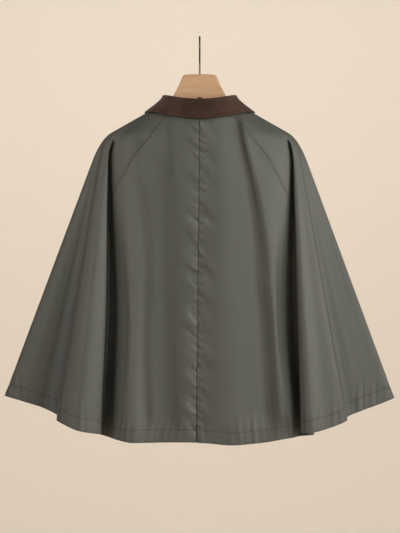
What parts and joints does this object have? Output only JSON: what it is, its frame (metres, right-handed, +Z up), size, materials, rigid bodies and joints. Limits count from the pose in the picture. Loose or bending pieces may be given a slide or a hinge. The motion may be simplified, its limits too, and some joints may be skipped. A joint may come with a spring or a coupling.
{
  "type": "rain cape on a hanger",
  "caption": "Short flared rain cape with raglan seams, a turned-down needlecord collar and a buttoned front, hung on a flat wooden hanger with a wire hook.",
  "frame": {"origin": "underside of the hook's crown, where the hanger rests on a rod", "axes": "+Z up; the cape's back faces -Y, its front +Y; its left side is -X; the rod runs along X"},
  "size_m": [0.9181, 0.169, 0.9529],
  "materials": {
    "cloth": "coated cotton, grey-green, soft sheen",
    "corduroy": "dark brown needlecord",
    "wood": "pale wood, satin",
    "dark_metal": "dark bronzed wire",
    "horn": "dark brown, polished"
  },
  "bodies": {
    "root": {"back_left": "cloth", "back_right": "cloth", "side_left": "cloth", "side_right": "cloth", "front_left": "cloth", "front_right": "cloth", "collar_left": "corduroy", "collar_right": "corduroy", "hang_loop": "corduroy", "hanger_board": "wood", "hanger_hook": "dark_metal", "button_1": "horn", "button_2": "horn", "button_3": "horn", "button_4": "horn", "button_5": "horn"}
  },
  "joints": []
}
